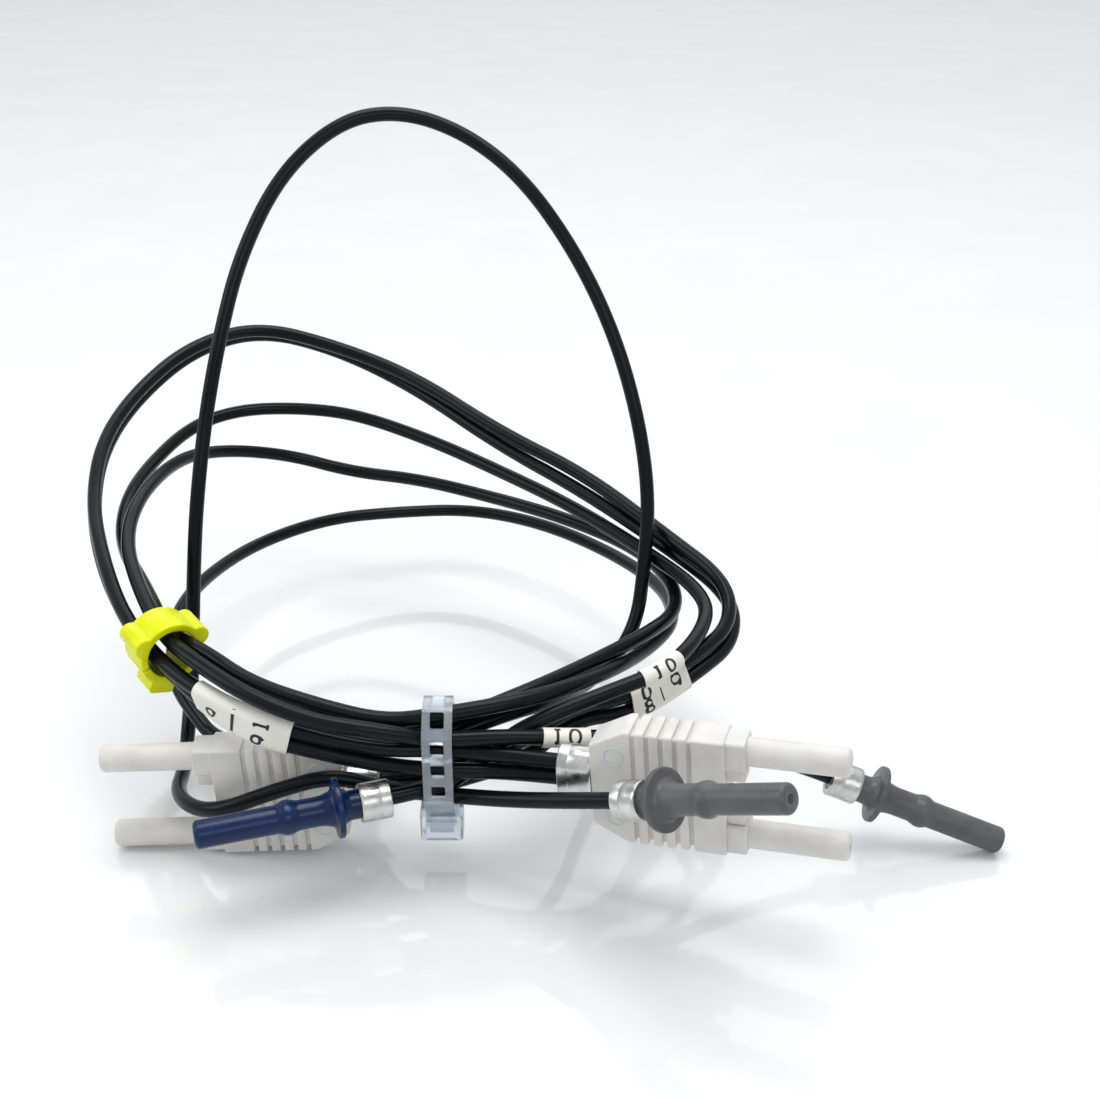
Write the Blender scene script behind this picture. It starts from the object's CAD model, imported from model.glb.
import bpy
import bmesh
import math
import numpy as np
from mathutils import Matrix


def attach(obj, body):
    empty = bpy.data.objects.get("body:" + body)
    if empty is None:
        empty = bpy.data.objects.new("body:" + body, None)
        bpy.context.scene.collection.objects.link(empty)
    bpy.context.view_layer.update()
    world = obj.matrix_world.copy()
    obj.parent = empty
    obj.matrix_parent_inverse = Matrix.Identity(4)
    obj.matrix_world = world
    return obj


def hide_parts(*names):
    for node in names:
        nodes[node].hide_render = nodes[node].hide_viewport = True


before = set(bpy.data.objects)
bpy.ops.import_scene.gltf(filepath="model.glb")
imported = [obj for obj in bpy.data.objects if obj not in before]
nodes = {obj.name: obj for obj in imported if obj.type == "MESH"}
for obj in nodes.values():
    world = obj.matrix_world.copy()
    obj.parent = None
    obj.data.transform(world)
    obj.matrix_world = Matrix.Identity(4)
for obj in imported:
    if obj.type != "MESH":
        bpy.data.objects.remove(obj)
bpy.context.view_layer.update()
print("frame loaded,", len(nodes), "nodes")

mm = 0.001


view = {"place": (5, -201, 135), "down": 27, "lens": 49.09}
cameraData = bpy.data.cameras.new("camera")
cameraData.lens = view["lens"]
cameraData.sensor_width = 36
cameraData.clip_start = 0.01
camera = bpy.data.objects.new("camera", cameraData)
camera.location = [v * mm for v in view["place"]]
camera.rotation_euler = (math.radians(90 - view["down"]), 0, 0)
bpy.context.scene.collection.objects.link(camera)
bpy.context.scene.camera = camera
bpy.context.scene.view_settings.view_transform = "Standard"


def softBox(name, place, aim, size, power, tint=(1, 1, 1)):
    data = bpy.data.lights.new(name, "AREA")
    data.shape = "RECTANGLE"
    data.size, data.size_y = size
    data.energy = power
    data.color = tint
    lamp = bpy.data.objects.new(name, data)
    lamp.location = place
    direction = np.array(aim) - np.array(place)
    flat = math.hypot(direction[0], direction[1])
    lamp.rotation_euler = (math.atan2(flat, -direction[2]), 0, math.atan2(-direction[0], direction[1]))
    bpy.context.scene.collection.objects.link(lamp)


softBox("overheadLight", (0.05, 0.10, 0.75), (0, 0, 0), (0.55, 0.4), 3.0)
softBox("backLight", (0, 1.05, 0.8), (0, 0.9, 0), (1.8, 0.8), 4.8)
softBox("leftLight", (-0.65, -0.1, 0.45), (0, 0, 0.02), (0.4, 0.5), 1.3, (0.95, 0.98, 1))
softBox("frontLight", (0.25, -0.7, 0.5), (0, 0, 0.02), (0.5, 0.3), 0.7, (1, 0.99, 0.97))
world = bpy.data.worlds.new("paleRoom")
world.use_nodes = True
world.node_tree.nodes["Background"].inputs["Color"].default_value = (0.97, 0.985, 1, 1)
world.node_tree.nodes["Background"].inputs["Strength"].default_value = 0.62
bpy.context.scene.world = world
print("camera and lights placed")


lead = {"radius": 1.1, "inset": 3.0}
upperLead = [
    (-21.6, -29, 11.2), (-14, -29, 11.5), (-6, -29, 14.5), (0.5, -28.5, 17), (8.5, -24, 20.5),
    (16.5, -20.5, 19.5), (26, -14, 22.5), (32, -7, 23.5), (32, 1.5, 26.5), (23.5, 12, 29),
    (11, 25.5, 33.5), (-3.5, 35.5, 37), (-19, 49, 42), (-33.5, 55.5, 45.5),
    (-47.5, 57.5, 48.5), (-58.5, 51, 47), (-66, 40, 42.5), (-69, 27.5, 38.5), (-67.5, 14, 34),
    (-62.5, 0, 31), (-57, -11.5, 28), (-50.5, -20.5, 26.5), (-44, -26.5, 25),
    (-35.5, -31.5, 23.5), (-27.5, -33, 21.5), (-17.5, -33.5, 19.5), (-10.5, -32.5, 19),
    (0.5, -33.5, 18.5), (9.5, -36.5, 19.2),
]
lowerLead = [
    (-21.6, -29, 8.7), (-14, -29, 9), (-6, -29, 12), (1, -28.5, 14), (8.5, -23.5, 18),
    (17, -21, 17), (26.5, -14.5, 20), (32.5, -7.5, 21), (33, 1, 24), (24, 12.5, 26.5),
    (10.5, 24.5, 31), (-3.5, 35.5, 34.5), (-19, 50, 39.5), (-33.5, 57.5, 44),
    (-47.5, 59.5, 47), (-58.5, 53, 45.5), (-66.5, 42, 40.5), (-69.5, 29, 36.5), (-68, 15, 32),
    (-63, 1, 28.5), (-57, -9.5, 25.5), (-50.5, -18.5, 24.5), (-43.5, -25.5, 22.5),
    (-35.5, -32, 21), (-27.5, -33.5, 19.5), (-17.5, -33.5, 17), (-10.5, -34, 16.5),
    (0.5, -33.5, 16), (9.5, -36.5, 16.8),
]
longLead = [
    (47.3, -27.4, 9.5), (37.5, -26, 13), (28, -27, 16.5), (19, -29.5, 19), (7, -31.5, 20),
    (-0.5, -32.5, 21), (-10.5, -33.5, 21), (-17.5, -35, 23.5), (-26, -34.5, 24.5),
    (-35, -31.5, 26.5), (-43, -25.5, 28), (-49.5, -18.5, 28.5), (-55.5, -7, 30),
    (-60.5, 5.5, 31.5), (-61, 18, 33.5), (-58.5, 35, 32.5), (-53, 45.5, 29.5),
    (-43, 52.5, 25.5), (-31.5, 51.5, 22.5), (-18.5, 47, 23), (-4.5, 40, 22.5), (7.5, 30, 23.5),
    (19, 19, 23.5), (24.5, 8, 23), (24.5, 0.5, 21.5), (19, -9, 23), (9.5, -18, 23),
    (1.5, -25.5, 23.5), (-10.5, -30.5, 21), (-18, -28, 20), (-26, -24.5, 17), (-35, -20, 11.5),
    (-44.5, -15, 8), (-49.5, -9.5, 10.5), (-52.5, -5, 12), (-54, 0.5, 14.5), (-55.5, 10.5, 16),
    (-54, 27, 14), (-48, 42.5, 12.5), (-36.5, 52.5, 12.5), (-23.5, 57.5, 11.5),
    (-10, 57.5, 12), (3.5, 49.5, 13), (15.5, 37, 13.5), (23.5, 21, 15.5), (25, 4, 18.5),
    (20, -5.5, 18.5), (12.5, -20, 23), (3, -28.5, 24.5), (-10, -32, 24), (-17.5, -32, 23),
    (-26.5, -31, 25), (-36, -27, 26), (-43, -22, 28), (-50, -15, 27), (-55, -4.5, 28),
    (-62.5, 9.5, 28.5), (-64.5, 21, 30.5), (-64, 34, 31), (-59, 46.5, 33.5), (-51.5, 53.5, 34),
    (-40.5, 55.5, 33.5), (-30, 53.5, 33), (-16, 46, 31), (-4, 37.5, 29), (8.5, 26.5, 27.5),
    (20, 13, 26), (28, 0.5, 25.5), (28.5, -8.5, 25), (22, -21.5, 25), (13, -25.5, 23.5),
    (5.5, -28.5, 22), (-0.5, -30, 19.5), (-5.5, -31.5, 15), (-10.5, -34, 13.5),
    (-19.5, -37, 13.5),
]
tallLead = [
    (16.3, -47.2, 21.3), (11.5, -43.5, 18.5), (0.5, -38, 14.5), (-10, -32, 11),
    (-18, -32.5, 12.5), (-24.5, -33, 15), (-32, -33.5, 13), (-41.5, -34.5, 9.5),
    (-48.5, -26.5, 6.5), (-49.5, -15.5, 4.5), (-50.5, -9, 5.5), (-50.5, -4, 10),
    (-50.5, 0, 16.5), (-50, 3.5, 26.5), (-49, 6.5, 37.5), (-47.5, 12, 49.5), (-45, 16.5, 61),
    (-42, 22, 71.5), (-36, 28, 82.5), (-27, 33, 89.5), (-18, 35, 90.5), (-8.5, 34.5, 87.5),
    (0.5, 31, 81.5), (8.5, 26.5, 71.5), (14.5, 21.5, 60.5), (18.5, 17, 48.5),
    (20.5, 12.5, 36.5), (20, 9, 26.5), (18.5, 4.5, 15.5), (11.5, -3.5, 11.5), (6, -19.5, 18.5),
    (-2.5, -27, 20.5), (-10.5, -29.5, 18), (-17.5, -24, 13), (-22.2, -18.5, 10.2),
]
routes = {
    "upper_lead": upperLead,
    "lower_lead": lowerLead,
    "long_lead": longLead,
    "tall_lead": tallLead,
}


def routeCurve(name, points, thickness):
    data = bpy.data.curves.new(name, "CURVE")
    data.dimensions = "3D"
    data.resolution_u = 16
    data.bevel_depth = thickness
    data.bevel_resolution = 7
    data.use_fill_caps = thickness > 0
    spline = data.splines.new("NURBS")
    spline.points.add(len(points) - 1)
    row = np.ones((len(points), 4))
    row[:, :3] = np.array(points) * mm
    spline.points.foreach_set("co", row.ravel())
    spline.order_u = 3
    spline.use_endpoint_u = True
    piece = bpy.data.objects.new(name, data)
    bpy.context.scene.collection.objects.link(piece)
    return piece


def centreLine(points):
    # the lead's own line, read back from the curve without its thickness
    probe = routeCurve("probe", points, 0)
    bpy.context.view_layer.update()
    mesh = bpy.data.meshes.new_from_object(probe)
    line = np.empty(len(mesh.vertices) * 3)
    mesh.vertices.foreach_get("co", line)
    bpy.data.objects.remove(probe)
    bpy.data.meshes.remove(mesh)
    return line.reshape(-1, 3)


leads = {}
for name, points in routes.items():
    leads[name] = routeCurve(name.split("_")[0] + "Jacket", points, lead["radius"] * mm)
lines = {name: centreLine(points) for name, points in routes.items()}
print("leads routed")


def unit(v):
    v = np.asarray(v, float)
    return v / np.linalg.norm(v, axis=-1, keepdims=True)


def gridMesh(name, grid, closeRound=True, capEnds=True):
    # grid of rows by places round each row, joined in quads, with an ngon at each end
    rows, cols = grid.shape[:2]
    index = np.arange(rows * cols).reshape(rows, cols)
    nextCol = np.roll(index, -1, axis=1) if closeRound else index[:, 1:]
    thisCol = index if closeRound else index[:, :-1]
    quads = np.stack([thisCol[:-1], nextCol[:-1], nextCol[1:], thisCol[1:]], -1).reshape(-1, 4)
    faces = quads.tolist()
    if capEnds:
        faces.append(index[0][::-1].tolist())
        faces.append(index[-1].tolist())
    mesh = bpy.data.meshes.new(name)
    mesh.from_pydata((grid.reshape(-1, 3) * mm).tolist(), [], faces)
    return mesh


def fresh(name, meshes):
    # one object from several closed shells, shaded smooth but for sharp corners
    joined = bmesh.new()
    for mesh in meshes:
        joined.from_mesh(mesh)
        bpy.data.meshes.remove(mesh)
    bmesh.ops.recalc_face_normals(joined, faces=joined.faces)
    data = bpy.data.meshes.new(name)
    joined.to_mesh(data)
    joined.free()
    data.shade_smooth()
    data.set_sharp_from_angle(angle=math.radians(35))
    piece = bpy.data.objects.new(name, data)
    bpy.context.scene.collection.objects.link(piece)
    return piece


def placeOn(pose, local):
    # local (tall, wide, along) into the row frame
    origin, tall, wide, axis = pose
    return origin + local[..., :1] * tall + local[..., 1:2] * wide + local[..., 2:3] * axis


def roundCorners(points, radius):
    # a polyline with each inner corner swapped for four points of a small arc
    pts = np.array(points, float)
    out = [pts[0]]
    for a, b, c in zip(pts, pts[1:], pts[2:]):
        back, ahead = a - b, c - b
        cut = min(radius, 0.45 * np.linalg.norm(back), 0.45 * np.linalg.norm(ahead))
        p, q = b + unit(back) * cut, b + unit(ahead) * cut
        for t in (0, 0.25, 0.5, 0.75, 1):
            out.append((1 - t) ** 2 * p + 2 * t * (1 - t) * b + t**2 * q)
    out.append(pts[-1])
    return np.array(out)


def turned(pose, profile, across=0, sides=64, corner=0.12):
    # a profile of radius and distance turned once round the plug's axis
    edge = roundCorners(profile, corner)
    angle = np.linspace(0, 2 * np.pi, sides, endpoint=False)
    grid = np.zeros((len(edge), sides, 3))
    grid[..., 0] = edge[:, :1] * np.cos(angle) + across
    grid[..., 1] = edge[:, :1] * np.sin(angle)
    grid[..., 2] = edge[:, 1:]
    return gridMesh("turned", placeOn(pose, grid), capEnds=False)


def roundedBox(half, wide, corner, around=12):
    # outline of a rectangle with round corners, for whole arrays of half sizes
    quarter = np.linspace(0, np.pi / 2, around)
    turns = np.concatenate([quarter + k * np.pi / 2 for k in range(4)])
    signX = np.repeat([1, -1, -1, 1], around)
    signY = np.repeat([1, 1, -1, -1], around)
    x = signX * (half[:, None] - corner[:, None]) + corner[:, None] * np.cos(turns)
    y = signY * (wide[:, None] - corner[:, None]) + corner[:, None] * np.sin(turns)
    return x, y


def lofted(pose, along, half, wide, corner, across=0.0):
    # rounded rectangles of changing size carried along the plug's axis
    along, half, wide = (np.asarray(v, float) * np.ones(len(along)) for v in (along, half, wide))
    corner = np.minimum(corner, 0.98 * np.minimum(half, wide))
    x, y = roundedBox(half, wide, corner)
    grid = np.stack([x + across, y, np.repeat(along[:, None], x.shape[1], 1)], -1)
    return gridMesh("lofted", placeOn(pose, grid))


def plugPose(last, neighbour):
    last, neighbour = np.array(last, float), np.array(neighbour, float)
    axis = unit(last - neighbour)
    tall = unit(np.array([0, 0, 1.0]) - axis * axis[2])
    return last - axis * lead["inset"], tall, np.cross(axis, tall), axis


single = {
    "sleeve": 2.0, "ring": 2.65, "ringLength": 4.2, "hub": 2.5, "flange": 4.1,
    "flangeBack": 6.6, "flangeFront": 7.5, "barrel": 2.0, "bump": 2.35,
    "bumpBack": 12.6, "bumpFront": 15.2, "ferrule": 1.92, "length": 26.0,
}


def singlePlug(name, pose):
    s = single
    profile = [
        (0.02, 3.05), (1.12, 3.05), (1.12, 0.0), (s["sleeve"], 0.0), (s["sleeve"], s["ringLength"]),
        (s["sleeve"], s["flangeBack"] - 1.1), (s["hub"] - 0.15, s["flangeBack"] - 0.4),
        (s["hub"] + 0.25, s["flangeBack"]), (s["flange"], s["flangeBack"] + 0.05),
        (s["flange"], s["flangeFront"] - 0.05), (s["hub"] + 0.35, s["flangeFront"]),
        (s["hub"] - 0.1, s["flangeFront"] + 0.4), (s["barrel"] + 0.08, s["flangeFront"] + 1.5),
        (s["barrel"], s["flangeFront"] + 2.2), (s["barrel"], s["bumpBack"] - 0.2),
        (s["bump"], s["bumpBack"] + 0.9), (s["bump"], s["bumpFront"] - 1.0),
        (s["ferrule"], s["bumpFront"]), (s["ferrule"], s["length"] - 0.4),
        (s["ferrule"] - 0.4, s["length"]), (0.52, s["length"]), (0.52, s["length"] - 0.5),
        (0.02, s["length"] - 0.5),
    ]
    return fresh(name, [turned(pose, profile, corner=0.22)])


def crimpRing(name, pose, half, stretchBy, length):
    # a plain band with one fine line round it and the faintest of crimp flats
    along = np.array([
        0, 0.12, 0.3, 0.5, 1.35, 1.5, 1.65, 2.6, 2.75, 2.9, length - 0.6, length - 0.3, length - 0.1,
    ])
    swell = np.array([-0.1, 0, 0.0, -0.01, -0.01, -0.06, -0.01, -0.01, -0.01, -0.01, -0.01, 0.0, -0.1])
    angle = np.linspace(0, 2 * np.pi, 96, endpoint=False)
    press = 0.012 * np.maximum(0, np.cos(6 * angle)) ** 2
    outer = half + swell[:, None] - press * np.clip(1 - 2 * abs(along / length - 0.5), 0, 1)[:, None]
    inner = np.full((2, 96), 1.13 if stretchBy == 0 else 2.12)
    radius = np.vstack([outer, inner[:1], inner[1:]])
    place = np.concatenate([along, [length - 0.15, 0.05]])
    grid = np.zeros((len(place), 96, 3))
    grid[..., 0] = radius * np.cos(angle) + stretchBy * np.clip(4 * np.cos(angle), -1, 1)
    grid[..., 1] = radius * np.sin(angle)
    grid[..., 2] = place[:, None]
    grid = np.concatenate([grid, grid[:1]])
    return fresh(name, [gridMesh("ring", placeOn(pose, grid), capEnds=False)])


fibreTip = {"radius": 0.5, "length": 4.9, "sunk": 0.02}


def fibreEnd(name, pose, tip, across):
    f = fibreTip
    profile = [
        (0.01, tip - f["length"]), (f["radius"], tip - f["length"]), (f["radius"], tip - 0.06),
        (f["radius"] - 0.08, tip - f["sunk"]), (0.01, tip - f["sunk"]),
    ]
    return fresh(name, [turned(pose, profile, across, 32, 0.05)])


singleEnds = {
    "front_grey": (tallLead[0], tallLead[1], "greyPlastic"),
    "rear_blue": (tallLead[-1], tallLead[-2], "bluePlastic"),
    "side_grey": (longLead[0], longLead[1], "greyPlastic"),
    "front_blue": (longLead[-1], longLead[-2], "bluePlastic"),
}
pieces = {}
finish = {}
for name, (last, neighbour, plastic) in singleEnds.items():
    pose = plugPose(last, neighbour)
    short = name.split("_")[0] + name.split("_")[1].capitalize()
    pieces[name + "_plug"] = singlePlug(short + "Plug", pose)
    pieces[name + "_ring"] = crimpRing(short + "Ring", pose, single["ring"], 0, single["ringLength"])
    pieces[name + "_fibre"] = fibreEnd(short + "Fibre", pose, single["length"], 0)
    finish[name + "_plug"] = plastic
    finish[name + "_ring"] = "crimpMetal"
    finish[name + "_fibre"] = "fibreCore"
print("single plugs made")


twin = {
    "rear": 4.8, "shoulder": 9.6, "half": 8.6, "rearHalf": 6.2, "wide": 2.6,
    "firstGroove": 10.7, "pitch": 1.85, "grooves": 5, "grooveWidth": 0.7, "grooveDepth": 0.5,
    "blockEnd": 22.7, "neckEnd": 25.3, "ferrulePitch": 12.7, "ferrule": 1.92, "length": 38.3,
    "bossPitch": 9.4, "bossPlace": 8.0, "boss": 1.5, "leadPitch": 2.5,
}


def twinPlug(name, pose):
    t = twin
    # body: half height and half thickness against distance, dropping in at each groove
    along = [t["rear"], t["rear"] + 0.15, t["shoulder"] - 0.35, t["shoulder"]]
    half = [t["rearHalf"] - 0.15, t["rearHalf"], t["half"] - 0.15, t["half"]]
    wide = [t["wide"] - 0.15, t["wide"], t["wide"], t["wide"]]
    for index in range(t["grooves"]):
        start = t["firstGroove"] + t["pitch"] * index - t["grooveWidth"] / 2
        for offset, drop in ((-0.1, 0), (0.0, 0.06), (0.08, 1), (0.62, 1), (0.7, 0.06), (0.8, 0)):
            along.append(start + offset)
            half.append(t["half"] - drop * t["grooveDepth"])
            wide.append(t["wide"] - drop * t["grooveDepth"])
    along += [t["blockEnd"] - 0.15, t["blockEnd"]]
    half += [t["half"], t["half"] - 0.15]
    wide += [t["wide"], t["wide"] - 0.15]
    shells = [lofted(pose, np.array(along), np.array(half), np.array(wide), np.full(len(along), 0.35))]
    sleeve = np.array([0.0, 0.1, 5.2])
    shells.append(lofted(pose, sleeve, 3.35, np.array([2.0, 2.1, 2.1]), np.full(3, 2.05)))
    for sign in (-1, 1):
        across = sign * t["ferrulePitch"] / 2
        neck = np.array([t["blockEnd"] - 0.6, t["neckEnd"] - 0.15, t["neckEnd"]])
        neckHalf, neckWide = np.array([2.1, 2.1, 1.95]), np.array([2.2, 2.2, 2.05])
        shells.append(lofted(pose, neck, neckHalf, neckWide, np.full(3, 0.5), across))
        # latch bar on the inner side of the neck
        bar = t["blockEnd"] + np.array([-1.6, -1.45, 2.25, 2.4])
        barHalf, barWide = np.array([0.8, 0.95, 0.95, 0.8]), np.array([1.35, 1.5, 1.5, 1.35])
        shells.append(lofted(pose, bar, barHalf, barWide, np.full(4, 0.3), sign * 3.3))
        profile = [
            (0.02, t["neckEnd"] - 0.4), (t["ferrule"], t["neckEnd"] - 0.4), (t["ferrule"], t["length"] - 0.4),
            (t["ferrule"] - 0.4, t["length"]), (0.52, t["length"]), (0.52, t["length"] - 0.5),
            (0.02, t["length"] - 0.5),
        ]
        shells.append(turned(pose, profile, across, 64, 0.25))
        for face in (-1, 1):
            # raised mould circle
            origin, tall, sideways, axis = pose
            middle = origin + tall * sign * t["bossPitch"] / 2 + axis * t["bossPlace"]
            middle = middle + sideways * face * (t["wide"] - 0.05)
            facePose = (middle, tall, axis, sideways * face)
            r = t["boss"]
            ringProfile = [(r - 0.4, 0), (r - 0.36, 0.14), (r - 0.05, 0.14), (r, 0), (r - 0.4, 0)]
            shells.append(turned(facePose, ringProfile, 0, 40, 0.05))
    return fresh(name, shells)


for name, last, neighbour in (("left_twin", 0, 1), ("right_twin", -1, -2)):
    short = name.split("_")[0] + "Twin"
    middle = (np.array(upperLead[last]) + np.array(lowerLead[last])) / 2
    inner = (np.array(upperLead[neighbour]) + np.array(lowerLead[neighbour])) / 2
    pose = plugPose(middle, inner)
    pieces[name + "_plug"] = twinPlug(short + "Plug", pose)
    pieces[name + "_ring"] = crimpRing(short + "Ring", pose, single["ring"], twin["leadPitch"] / 2, 4.8)
    finish[name + "_plug"] = "whitePlastic"
    finish[name + "_ring"] = "crimpMetal"
    for side, sign in (("upper", 1), ("lower", -1)):
        label = name + "_" + side + "_fibre"
        across = sign * twin["ferrulePitch"] / 2
        pieces[label] = fibreEnd(short + side.capitalize() + "Fibre", pose, twin["length"], across)
        finish[label] = "fibreCore"
print("twin plugs made")


def alongLine(line, start, finishAt, count):
    # evenly spaced places and directions on a lead's line, distances in millimetres
    step = np.linalg.norm(np.diff(line, axis=0), axis=1)
    gone = np.concatenate([[0], np.cumsum(step)]) / mm
    want = np.linspace(start, finishAt, count)
    place = np.stack([np.interp(want, gone, line[:, k]) for k in range(3)], -1) / mm
    direction = unit(np.gradient(place, axis=0))
    return place, direction


def nearestOn(line, places):
    gap = np.linalg.norm(line[None] / mm - places[:, None], axis=2)
    return line[np.argmin(gap, axis=1)] / mm


toViewer = unit(np.array([0.0, -0.85, 0.53]))


def sleeveFrame(label, count):
    # centre, along, towards the viewer, and up the label at each station
    if label["leads"][1]:
        upper, direction = alongLine(lines[label["leads"][0]], *label["span"], count)
        lower = nearestOn(lines[label["leads"][1]], upper)
        up = unit(upper - lower)
        half = np.linalg.norm(upper - lower, axis=1) / 2
        centre = (upper + lower) / 2
    else:
        centre, direction = alongLine(lines[label["leads"][0]], *label["span"], count)
        side = toViewer - direction * (direction @ toViewer)[:, None]
        up = unit(np.cross(direction, side)) * (1 if direction[0][0] > 0 else -1)
        half = np.zeros(count)
    up = unit(up - direction * np.sum(up * direction, axis=1)[:, None])
    front = np.cross(up, direction)
    front *= np.where(front @ toViewer > 0, 1, -1)[:, None]
    return centre, direction, front, up, half


pen = {"half": 0.2, "lift": 0.03}
labels = {
    "left_pair_label": {"leads": ("upper_lead", "lower_lead"), "span": (275.5, 290.5), "film": 1.36},
    "right_pair_label": {"leads": ("upper_lead", "lower_lead"), "span": (41.0, 50.5), "film": 1.36},
    "front_label": {"leads": ("long_lead", None), "span": (39.0, 45.5), "film": 1.36},
    "side_label": {"leads": ("long_lead", None), "span": (833.5, 840.5), "film": 1.36},
}


def filmPoint(shape, label, row, spread):
    # a point just off the film: spread goes round it, in millimetres from the middle of its front
    centre, direction, front, up, half = shape
    radius = label["film"] + pen["lift"]
    flat = half[row]
    inside = np.clip(spread, -flat, flat)
    turn = (spread - inside) / label["film"]
    return (centre[row] + up[row] * (inside + radius * np.sin(turn))[..., None]
            + front[row] * (radius * np.cos(turn))[..., None])


def filmSleeve(name, label):
    count = 28
    shape = sleeveFrame(label, count)
    rows = np.repeat(np.arange(count)[:, None], 64, 1)
    half = shape[4][:, None]
    around = 2 * (2 * half + np.pi * label["film"])
    share = np.linspace(-0.5, 0.5, 64, endpoint=False)[None]
    quarter = half + np.pi * label["film"] / 2
    spread = share * around
    # past the far side the flat comes again, mirrored to the back
    back = np.abs(spread) > quarter
    folded = np.where(back, np.sign(spread) * 2 * quarter - spread, spread)
    centre, direction, front, up, _ = shape
    flatPart = np.clip(folded, -half, half)
    turn = (folded - flatPart) / label["film"]
    side = np.where(back, -1, 1)

    def ring(radius):
        return (centre[:, None] + up[:, None] * (flatPart + radius * np.sin(turn))[..., None]
                + front[:, None] * (side * radius * np.cos(turn))[..., None])

    outer = ring(label["film"])
    inner = ring(label["film"] - 0.16)
    grid = np.concatenate([outer, inner[::-1], outer[:1]])
    return fresh(name, [gridMesh(name, grid, capEnds=False)])


for name, label in labels.items():
    words = name.split("_")
    short = words[0] + "".join(w.capitalize() for w in words[1:])
    pieces[name] = filmSleeve(short, label)
    finish[name] = "labelFilm"


def bow(x, y, wide, tall, start, end, count=16):
    # an arc of an ellipse, angles in degrees
    turn = np.radians(np.linspace(start, end, count))
    return np.stack([x + wide * np.cos(turn), y + tall * np.sin(turn)], -1)


def rule(x1, y1, x2, y2):
    return np.linspace((x1, y1), (x2, y2), 6)


# pen strokes of the numerals in a box one unit tall
glyphs = {
    "0": [bow(0, 0, 0.3, 0.46, 0, 360, 28)],
    "1": [rule(0, -0.46, 0, 0.46), rule(-0.16, 0.3, 0, 0.46), rule(-0.18, -0.46, 0.18, -0.46)],
    "8": [bow(0, 0.24, 0.23, 0.22, 0, 360, 20), bow(0, -0.22, 0.28, 0.25, 0, 360, 20)],
    "9": [bow(0, 0.18, 0.26, 0.27, 0, 360, 22), np.vstack([bow(-0.35, 0.18, 0.61, 0.64, 0, -42, 10)])],
    "|": [rule(0, -0.5, 0, 0.5)],
}
# what is written on each label: sign, distance along, distance up, height, quarter turns
writing = {
    "left_pair_label": [
        ("9", 3.6, 0.0, 2.5, 1), ("|", 7.0, 0, 4.4, 0), ("1", 11.0, 1.1, 2.2, 1), ("9", 11.2, -1.2, 2.4, 1),
    ],
    "right_pair_label": [
        ("8", 2.2, -1.1, 2.1, 0), ("0", 2.2, 1.1, 2.1, 0), ("|", 4.4, -0.3, 2.2, 0), ("9", 7.2, 0.1, 2.9, 0),
    ],
    "front_label": [("0", 2.2, -0.2, 2.4, 0), ("1", 4.6, -0.2, 2.4, 0)],
    "side_label": [("0", 2.6, 0.1, 2.0, 0), ("1", 4.8, 0.1, 2.0, 0)],
}


def penStrokes(name, label):
    # flat ribbons laid on the film, a little proud of it
    shape = sleeveFrame(label, 60)
    span = label["span"][1] - label["span"][0]
    forward = 1 if shape[1][:, 0].mean() > 0 else -1
    meshes = []
    for sign, alongAt, upAt, height, quarter in writing[name]:
        for stroke in glyphs[sign]:
            pts = stroke * height
            if quarter:
                pts = np.stack([-pts[:, 1], pts[:, 0]], -1)
            direction = unit(np.gradient(pts, axis=0))
            normal = np.stack([-direction[:, 1], direction[:, 0]], -1) * pen["half"]
            strip = np.stack([pts - normal, pts + normal], 1)
            x = alongAt + strip[..., 0] * forward
            y = upAt + strip[..., 1]
            row = np.clip(x / span * 59, 0, 58.999)
            low = row.astype(int)
            part = (row - low)[..., None]
            here, ahead = filmPoint(shape, label, low, y), filmPoint(shape, label, low + 1, y)
            grid = (1 - part) * here + part * ahead
            meshes.append(gridMesh("stroke", grid, closeRound=False, capEnds=False))
    return fresh(name, meshes)


inks = []
for name, label in labels.items():
    short = name.split("_")[0] + "Ink"
    inks.append(penStrokes(name, label))
    inks[-1].name = short
print("labels wrapped")


def eased(name, nodeName, width, segments=3):
    copy = bmesh.new()
    copy.from_mesh(nodes[nodeName].data)
    bmesh.ops.remove_doubles(copy, verts=copy.verts, dist=1e-6)
    bmesh.ops.dissolve_limit(copy, angle_limit=math.radians(2), verts=copy.verts, edges=copy.edges)
    data = bpy.data.meshes.new(name)
    copy.to_mesh(data)
    copy.free()
    data.shade_smooth()
    piece = bpy.data.objects.new(name, data)
    bpy.context.scene.collection.objects.link(piece)
    bevel = piece.modifiers.new("ease", "BEVEL")
    bevel.width = width * mm
    bevel.segments = segments
    bevel.limit_method = "ANGLE"
    bevel.angle_limit = math.radians(38)
    bevel.harden_normals = True
    bevel.use_clamp_overlap = True
    return piece


pieces["ladder_tie"] = eased("ladderTie", "ladder_tie", 0.16)
pieces["tie_pawl"] = eased("tiePawl", "tie_pawl", 0.08)
pieces["clip_ring"] = eased("clipRing", "clip_ring", 0.35)
pieces["clip_arm"] = eased("clipArm", "clip_arm", 0.3)
finish.update({"ladder_tie": "clearNylon", "tie_pawl": "clearNylon"})
finish.update({"clip_ring": "yellowPlastic", "clip_arm": "yellowPlastic"})
print("tie and clip eased")


class Value:
    # a node's output, where a plus sign adds a maths node
    def __init__(self, kit, socket):
        self.kit, self.socket = kit, socket

    def __add__(self, other):
        return self.kit.add("ShaderNodeMath", {"operation": "ADD"}, self, other)


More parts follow.
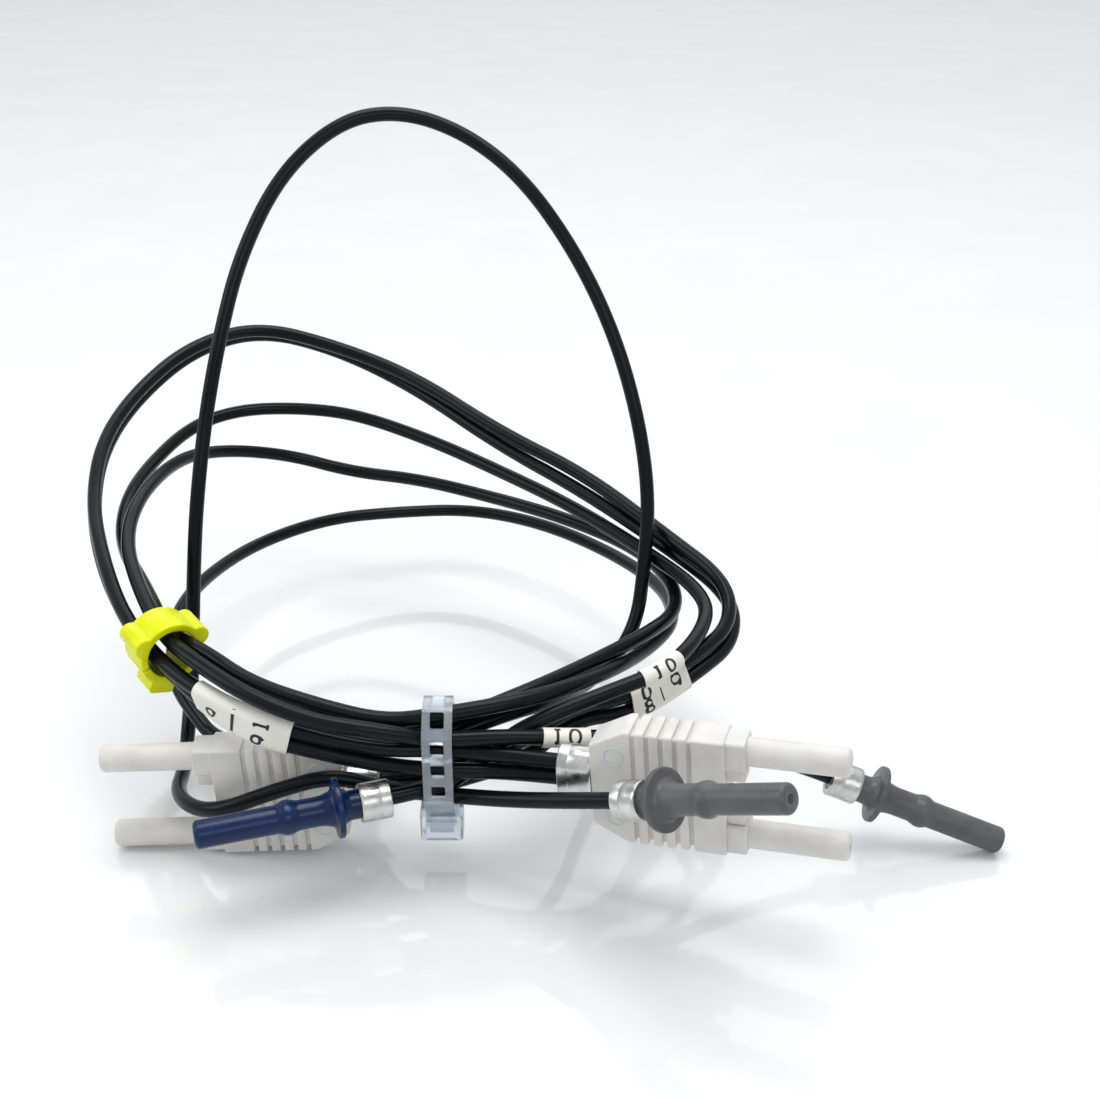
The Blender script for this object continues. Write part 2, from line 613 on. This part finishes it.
class Finish:
    # one material; add() puts in any node from its type, settings and socket values
    def __init__(self, name, slotName, **fixed):
        self.material = bpy.data.materials.new(name)
        self.material.use_nodes = True
        self.tree = self.material.node_tree
        self.shader = self.tree.nodes["Principled BSDF"]
        self.slotName = slotName
        for key, value in fixed.items():
            self.shader.inputs[key].default_value = value

    def add(self, kind, settings, *sockets, out=0, **named):
        node = self.tree.nodes.new(kind)
        for key, value in settings.items():
            if key == "stops":
                ramp = node.color_ramp
                while len(ramp.elements) < len(value):
                    ramp.elements.new(0.5)
                for element, (place, colour) in zip(ramp.elements, value):
                    element.position = place
                    element.color = (*colour, 1)
            else:
                setattr(node, key, value)
        for index, value in list(enumerate(sockets)) + list(named.items()):
            self.feed(node.inputs[index], value)
        return Value(self, node.outputs[out])

    def feed(self, socket, value):
        if isinstance(value, Value):
            self.tree.links.new(value.socket, socket)
        elif value is not None:
            socket.default_value = value

    def place(self):
        return self.add("ShaderNodeTexCoord", {}, out=3)

    def noise(self, scale, detail=3.0, where=None):
        where = where or self.place()
        return self.add("ShaderNodeTexNoise", {}, Vector=where, Scale=scale, Detail=detail)

    def remap(self, value, low, high, fromLow=0.3, fromHigh=0.7):
        return self.add("ShaderNodeMapRange", {}, value, fromLow, fromHigh, low, high)

    def ramp(self, value, stops):
        return self.add("ShaderNodeValToRGB", {"stops": stops}, value)

    def bump(self, height, strength, distance):
        return self.add("ShaderNodeBump", {}, Strength=strength, Distance=distance, Height=height)

    def wear(self, **links):
        for key, value in links.items():
            self.feed(self.shader.inputs[key.replace("_", " ")], value)
        return self.material


finishes = {}

kit = Finish("blackJacket", "black_jacket", IOR=1.4)
kit.shader.inputs["Specular IOR Level"].default_value = 0.25
grain = kit.noise(900, 4)
patches = kit.noise(55, 3)
finishes["blackJacket"] = kit.wear(
    Base_Color=kit.ramp(patches, [(0.3, (0.003, 0.0035, 0.005)), (0.75, (0.006, 0.007, 0.01))]),
    Roughness=kit.remap(patches, 0.2, 0.3) + kit.remap(grain, -0.03, 0.03),
    Normal=kit.bump(grain, 0.12, 0.00004),
)

plastics = {
    "greyPlastic": ("grey_plastic", (0.085, 0.085, 0.088), (0.12, 0.12, 0.122), 0.3),
    "bluePlastic": ("blue_plastic", (0.001, 0.012, 0.06), (0.002, 0.02, 0.09), 0.22),
    "whitePlastic": ("white_plastic", (0.66, 0.64, 0.61), (0.75, 0.74, 0.72), 0.36),
    "yellowPlastic": ("yellow_plastic", (0.68, 0.74, 0.0), (0.8, 0.85, 0.0), 0.25),
}
for name, (slotName, dark, light, rough) in plastics.items():
    kit = Finish(name, slotName, IOR=1.5)
    kit.shader.inputs["Specular IOR Level"].default_value = 0.3
    if name in ("whitePlastic", "yellowPlastic"):
        kit.shader.inputs["Subsurface Weight"].default_value = 0.25
        kit.shader.inputs["Subsurface Scale"].default_value = 0.001
    flow = kit.noise(260, 4)
    fine = kit.noise(2600, 3)
    finishes[name] = kit.wear(
        Base_Color=kit.ramp(flow, [(0.3, dark), (0.7, light)]),
        Roughness=kit.remap(flow, rough - 0.05, rough + 0.07) + kit.remap(fine, -0.03, 0.03),
        Normal=kit.bump(fine, 0.1, 0.00003),
    )

kit = Finish("crimpMetal", "crimp_metal", Metallic=1.0, Anisotropic=0.4)
drawn = kit.add("ShaderNodeMapping", {}, kit.place(), (0, 0, 0), (0, 0, 0), (0.15, 1, 1))
streaks = kit.noise(1400, 5, drawn)
smudge = kit.noise(420, 3)
finishes["crimpMetal"] = kit.wear(
    Base_Color=kit.ramp(smudge, [(0.3, (0.5, 0.5, 0.49)), (0.7, (0.72, 0.72, 0.71))]),
    Roughness=kit.remap(smudge, 0.2, 0.34) + kit.remap(streaks, -0.05, 0.08),
    Normal=kit.bump(streaks, 0.25, 0.00004),
)

kit = Finish("clearNylon", "clear_nylon", IOR=1.5)
kit.shader.inputs["Transmission Weight"].default_value = 0.82
cloud = kit.noise(380, 3)
finishes["clearNylon"] = kit.wear(
    Base_Color=kit.ramp(cloud, [(0.3, (0.78, 0.86, 0.95)), (0.75, (0.93, 0.97, 1.0))]),
    Roughness=kit.remap(cloud, 0.1, 0.26),
    Normal=kit.bump(cloud, 0.2, 0.0001),
)

kit = Finish("labelFilm", "label_film", IOR=1.45)
fibre = kit.noise(1500, 4)
tone = kit.noise(180, 3)
finishes["labelFilm"] = kit.wear(
    Base_Color=kit.ramp(tone, [(0.3, (0.78, 0.76, 0.7)), (0.7, (0.87, 0.86, 0.81))]),
    Roughness=kit.remap(fibre, 0.36, 0.5),
    Normal=kit.bump(fibre, 0.15, 0.00003),
)

kit = Finish("penInk", "black_jacket", IOR=1.45)
dry = kit.noise(3000, 3)
finishes["penInk"] = kit.wear(
    Base_Color=kit.ramp(dry, [(0.35, (0.006, 0.006, 0.008)), (0.75, (0.03, 0.03, 0.035))]),
    Roughness=kit.remap(dry, 0.4, 0.6),
)

kit = Finish("fibreCore", "fibre_core", IOR=1.49)
polish = kit.noise(4000, 2)
finishes["fibreCore"] = kit.wear(
    Base_Color=kit.ramp(polish, [(0.35, (0.012, 0.014, 0.03)), (0.7, (0.03, 0.035, 0.06))]),
    Roughness=kit.remap(polish, 0.05, 0.15),
)
print("finishes mixed")


def wear(piece, name):
    piece.data.materials.clear()
    piece.data.materials.append(finishes[name])


riders = {"tie_pawl": "pawl", "clip_arm": "clip_latch"}
for name, piece in pieces.items():
    wear(piece, finish[name])
    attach(piece, riders.get(name, "bundle"))
    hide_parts(name)
for piece in inks:
    wear(piece, "penInk")
    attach(piece, "bundle")
for name, piece in leads.items():
    wear(piece, "blackJacket")
    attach(piece, "bundle")
    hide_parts(name)

cordEnds = {
    "upper_lead": (upperLead[0], "right_twin"),
    "lower_lead": (lowerLead[0], "right_twin"),
    "long_lead": (longLead[0], "front_blue"),
    "tall_lead": (tallLead[-1], "front_grey"),
}
for name, (exitPoint, plug) in cordEnds.items():
    tuple(v * mm for v in exitPoint)
    pieces[plug + "_plug"]
    pieces[plug + "_ring"]
print("leads declared")


tableMesh = bpy.data.meshes.new("table")
reach = 3.0
tableMesh.from_pydata(
    [(-reach, -reach, 0), (reach, -reach, 0), (reach, reach, 0), (-reach, reach, 0)], [], [(0, 1, 2, 3)]
)
table = bpy.data.objects.new("table", tableMesh)
bpy.context.scene.collection.objects.link(table)
kit = Finish("paleTable", None, IOR=1.5)
haze = kit.noise(30, 3)
tableMesh.materials.append(kit.wear(
    Base_Color=kit.ramp(haze, [(0.3, (0.81, 0.82, 0.825)), (0.7, (0.84, 0.85, 0.855))]),
    Roughness=kit.remap(haze, 0.05, 0.09),
))
